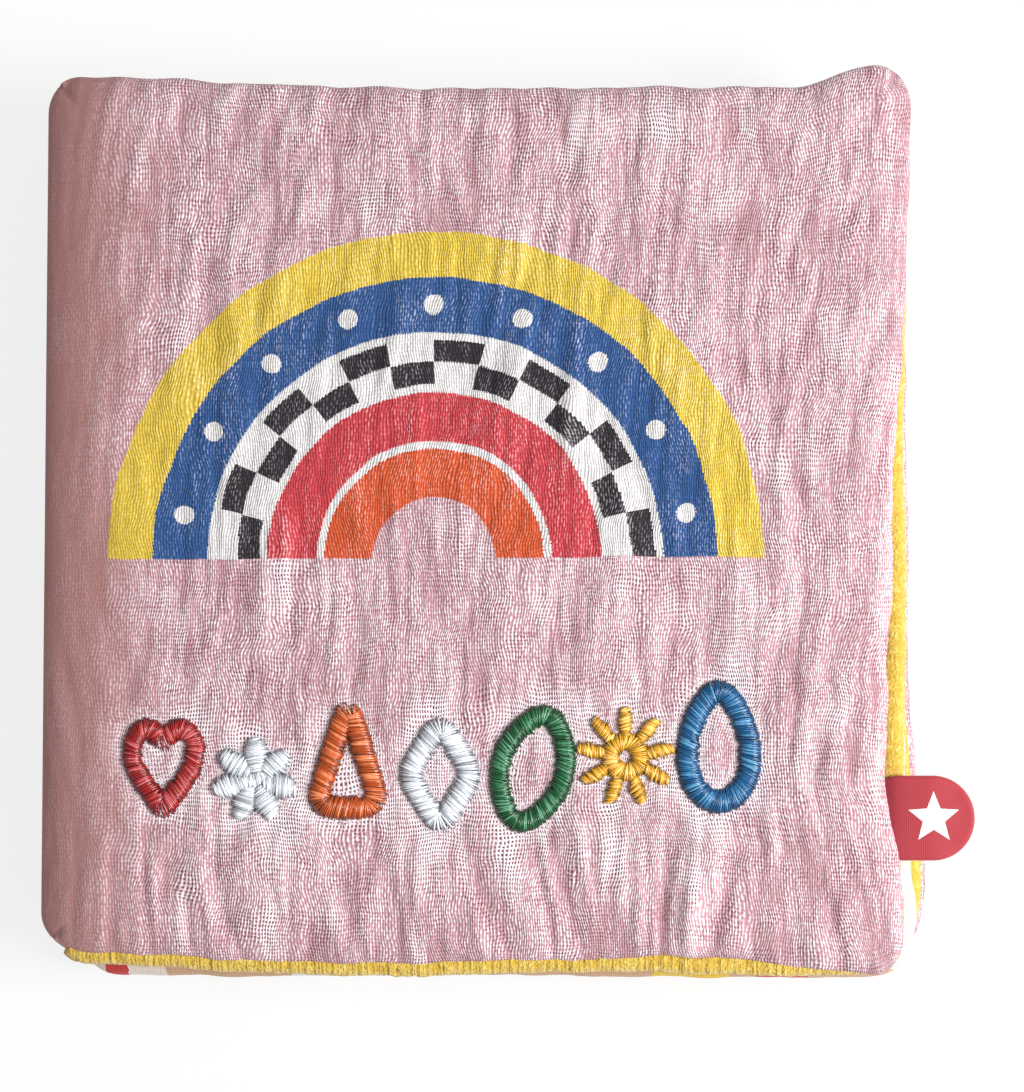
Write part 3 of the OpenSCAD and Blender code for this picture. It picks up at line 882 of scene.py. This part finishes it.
def softened(loop, times):
    """A closed line with its corners rounded, a little each time."""
    for _ in range(times):
        loop = (np.roll(loop, 1, axis=0) + 2 * loop + np.roll(loop, -1, axis=0)) / 4
    return loop


def line_of_stitch(middle, width=satin_w):
    """The two edges of a closed line of stitch, from the points along its middle."""
    ahead = np.roll(middle, -2, axis=0) - np.roll(middle, 2, axis=0)
    out = np.column_stack([ahead[:, 1], -ahead[:, 0]]) / np.hypot(*ahead.T)[:, None]
    edges = [middle + out * width / 2, middle - out * width / 2]
    return (*(softened(edge, edge_rounding) for edge in edges), True)


def column_of_stitch(turn, start, end, width, tip):
    """The two edges of a short straight column of stitch, widest at its middle."""
    t = np.linspace(0, 1, 24)
    reach = start + (end - start) * t
    half = width / 2 * (tip + (1 - tip) * np.sin(np.pi * t) ** 0.8)
    c, s = math.cos(turn), math.sin(turn)
    edges = (np.column_stack([reach * c - side * half * s, reach * s + side * half * c]) for side in (1, -1))
    return (*edges, False)


def evenly(corners, rounding, points=160):
    """A closed polygon with softened corners, as evenly spaced points."""
    loop = np.vstack([corners, corners[:1]])
    s = np.concatenate([[0], np.cumsum(np.hypot(*np.diff(loop, axis=0).T))])
    at = np.arange(points) / points * s[-1]
    return softened(np.column_stack([np.interp(at, s, loop[:, k]) for k in (0, 1)]), rounding)


sine, cosine = np.sin(round_turn), np.cos(round_turn)
heart_x = -16 * sine**3
heart_y = 13 * cosine - 5 * np.cos(2 * round_turn) - 2 * np.cos(3 * round_turn) - np.cos(4 * round_turn)
heart_line = np.column_stack([heart_x, 1.3 * heart_y]) * 0.36
drop_x = np.where(sine > 0, np.abs(cosine) ** 1.5 * np.sign(cosine), cosine)
drop_line = np.column_stack([drop_x * 5.5, np.where(sine > 0, 11.5, 7) * sine])
leaf_line = np.column_stack([cosine * (1 - 0.3 * sine**2) * 5.6, 9.6 * sine])
leaf_tilt = math.radians(-16)
tilt_cos, tilt_sin = math.cos(leaf_tilt), math.sin(leaf_tilt)
leaf_line = leaf_line @ np.array([[tilt_cos, tilt_sin], [-tilt_sin, tilt_cos]])
white_dye = (234, 238, 246)
shapes = {
    "heart": ("red_thread", (182, 26, 28), [line_of_stitch(evenly(heart_line, 40), 3.3)]),
    "daisy": ("white_thread", white_dye, [
        column_of_stitch(math.radians(90 + k * 360 / 7), 1.3, 7.3, 4.2, 0.42) for k in range(7)
    ] + [column_of_stitch(0, -1.7, 1.7, 3.2, 0.3)]),
    "triangle": ("orange_thread", (216, 94, 24), [
        line_of_stitch(evenly(np.array([[-5.6, -7], [5.6, -7], [0, 11.5]]), 80))
    ]),
    "diamond": ("white_thread", white_dye, [
        line_of_stitch(evenly(np.array([[0, -9.6], [5.4, 0], [0, 9.6], [-5.4, 0]]), 60))
    ]),
    "leaf": ("green_thread", (8, 100, 48), [line_of_stitch(evenly(leaf_line, 4), 3.3)]),
    "sun": ("yellow_thread", (246, 184, 44), [
        column_of_stitch(math.radians(90 + k * 40), 3.4, 8.5, 2.3, 0.5) for k in range(9)
    ] + [line_of_stitch(np.column_stack([cosine, sine]) * 2.7, 3.0)]),
    "drop": ("blue_thread", (6, 98, 154), [line_of_stitch(evenly(drop_line, 5))]),
}


def in_its_place(columns, node):
    """Fits a shape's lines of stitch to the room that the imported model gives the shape."""
    low, high = (np.array(corner[:2]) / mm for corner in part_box(node))
    points = np.vstack([edge for column in columns for edge in column[:2]])
    scale = (high - low) / np.ptp(points, axis=0)
    shift = low - points.min(axis=0) * scale
    return [(left * scale + shift, right * scale + shift, closed) for left, right, closed in columns]


def strand_ends(left, right, closed):
    """Where each strand starts and ends, evenly along a line of stitch but for the hand's wander."""
    if closed:
        left, right = (np.vstack([edge, edge[:1]]) for edge in (left, right))
    middle = (left + right) / 2
    s = np.concatenate([[0], np.cumsum(np.hypot(*np.diff(middle, axis=0).T))])
    count = max(6, round(s[-1] / strand_pitch))
    at = (np.arange(count) + 0.5) / count * s[-1]
    ends = []
    slope = 0.5 if closed else 0.3
    for edge, slant in ((left, -slope), (right, slope)):
        where = at + slant + hand.normal(0, 0.05, count)
        where = where % s[-1] if closed else np.clip(where, 0, s[-1])
        ends.append(np.column_stack([np.interp(where, s, edge[:, k]) for k in (0, 1)]))
    return ends


def thread_piece(name, paths, width, tones):
    """Threads along a list of paths with as many points each, as one mesh, with their tones."""
    lines = bpy.data.curves.new(name, "CURVE")
    lines.dimensions = "3D"
    lines.bevel_depth = width / 2 * mm
    lines.bevel_resolution = 0
    for path in paths:
        spline = lines.splines.new("POLY")
        spline.points.add(len(path) - 1)
        spline.points.foreach_set("co", np.column_stack([path * mm, np.ones(len(path))]).ravel())
    threads = bpy.data.objects.new(name, lines)
    bpy.context.collection.objects.link(threads)
    pick(threads)
    bpy.ops.object.convert(target="MESH")
    bpy.ops.object.shade_smooth()
    threads = bpy.context.object
    each = len(threads.data.vertices) // np.size(tones)
    note(threads, "strand", np.repeat(tones, each))
    return threads


# The lightest strands are tinted toward white as a painted highlight
glint_white = 235
glint_share = 0.35


def satin_thread(slot, colour):
    """Glossy thread, each strand a little lighter or darker than the next, with painted shade and light from
    its strand numbers, and a painted highlight tinting the lightest strands toward white.
    """
    thread = Finish(
        slot.replace("_", " "),
        {"Roughness": 0.3, "Specular IOR Level": 0.8, "Coat Weight": 0.35, "Coat Roughness": 0.15},
    )
    twist = thread.place("Object")[0]
    fibres = thread.noise(twist, (0.5, 0.5, 0.3), 3.0)
    tone = thread.noted("strand") + (fibres - 0.5) * 0.3
    glint = [part + (glint_white - part) * glint_share for part in colour]
    dyed = thread.mix(dye(*colour), dye(*glint), tone.between(1.0, 1.35))
    thread.fill(thread.shader, {"Base Color": thread.shade(dyed, tone)})
    thread.relief(fibres, 0.05)
    return thread


# Each strand's height and place across the line at its seven points, and the strands beneath it
lift = np.array([-0.3, 0.3, 0.78, 1.0, 0.78, 0.3, -0.3])
across_share = np.array([0, 0.04, 0.2, 0.5, 0.8, 0.96, 1])
under_drop = 0.14
under_strand_shade = 0.3
thread_finishes = {}
sewn = []
for shape, (slot, colour, columns) in shapes.items():
    paths, tones = [], []
    for column in in_its_place(columns, f"{shape}_stitching"):
        starts, ends = strand_ends(*column)
        sewn.append((starts, ends))
        for start, end in zip(starts, ends):
            span = end - start
            width = np.hypot(*span)
            start = start - span / width * hand.uniform(-0.08, 0.2)
            span = span + span / width * hand.uniform(-0.08, 0.2) * 2
            top = satin_h * min(1, 0.35 + width / 4) * hand.uniform(0.9, 1.06)
            for drop in (0, under_drop):
                flat = start + across_share[:, None] * span + hand.normal(0, 0.07, 2) * (drop > 0)
                paths.append(np.column_stack([flat, cloth_z + lift * (top - drop) - strand_w / 3]))
                # The under strands get painted shade, and each strand is painted darker at its ends where it
                # dips into the cloth and lighter at its crest as painted light, besides its random tone
                tone = under_strand_shade if drop else hand.uniform(0.5, 1.35)
                tones.append(tone * (0.44 + 0.68 * np.maximum(lift, 0)))
    stitching = thread_piece(f"{shape}_satin_stitch", paths, strand_w, tones)
    if slot not in thread_finishes:
        thread_finishes[slot] = satin_thread(slot, colour)
    thread_finishes[slot].on(stitching)
    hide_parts(f"{shape}_stitching")
    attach(stitching, "front_cover_half")

# The stitches pull the gauze down and in round them, and its threads part into a rougher grid
middles = [((a + b) / 2, np.hypot(*(b - a).T) / 2) for a, b in sewn]
stitch_places = np.vstack([points for points, _ in middles])
stitch_halves = np.concatenate([halves for _, halves in middles])
stitch_runs = np.concatenate([np.arange(len(halves)) * strand_pitch for _, halves in middles])
nearby = kdtree.KDTree(len(stitch_places))
for k, (x, y) in enumerate(stitch_places):
    nearby.insert((x, y, 0), k)
nearby.balance()
row_reach = 66
row_foot, row_head = -66, -20
pull_fade = 2.2
pull_share = 0.9
pucker_d = 0.16
open_fade = 2.0
openness = np.zeros(len(front_gauze.data.vertices))
for point in front_gauze.data.vertices:
    x, y, z = point.co / mm
    if z < front_seam_z + 3 or abs(x) > row_reach or y > row_head or y < row_foot:
        continue
    _, k, distance = nearby.find((x, y, 0))
    past = max(0, distance - stitch_halves[k])
    held = math.exp(-((past / pull_fade) ** 2))
    pucker = pucker_d * math.sin(stitch_runs[k] * 2.9) * math.exp(-past / 1.6) * min(1, past)
    point.co.z = (z + held * (cloth_z - 0.1 - z) * pull_share + pucker) * mm
    openness[point.index] = math.exp(-past / open_fade)
front_gauze.data.attributes["stitched"].data.foreach_set("value", openness.astype(np.float32))

# Loose ends of the gauze's own thread stand out of the stitching, and lie on the cloth beside it
gauze_surface = bvhtree.BVHTree.FromObject(front_gauze, bpy.context.evaluated_depsgraph_get())
loose_share = 0.42
hair_w = 0.14
hair_clear = 0.06
hairs = []
for starts, ends in sewn:
    for k in range(len(starts)):
        for edge, other in ((starts[k], ends[k]), (ends[k], starts[k])):
            if hand.random() > loose_share:
                continue
            out = (edge - other) / np.hypot(*(edge - other))
            turn = hand.normal(0, 0.3)
            c, s = math.cos(turn), math.sin(turn)
            out = np.array([out[0] * c - out[1] * s, out[0] * s + out[1] * c])
            length = hand.uniform(0.5, 1.9)
            bend = np.array([-out[1], out[0]]) * hand.normal(0, 0.12)
            hair = []
            for t in (-0.25, 0.35, 0.7, 1):
                x, y = edge + out * length * t + bend * t * t
                hit = gauze_surface.ray_cast(Vector((x, y, 60)) * mm, Vector((0, 0, -1)))[0]
                hair.append((x, y, hit.z / mm + hair_clear))
            hairs.append(np.array(hair))
frayed = thread_piece("frayed_gauze_threads", hairs, hair_w, hand.random(len(hairs)))
pale_thread = Finish("frayed pale thread", {"Roughness": 0.8, "Sheen Weight": 0.2, "Specular IOR Level": 0.2})
pale_tone = pale_thread.mix(dye(232, 200, 208), dye(255, 250, 252), pale_thread.noted("strand"))
pale_thread.fill(pale_thread.shader, {"Base Color": pale_tone})
pale_thread.on(frayed)
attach(frayed, "front_cover_half")
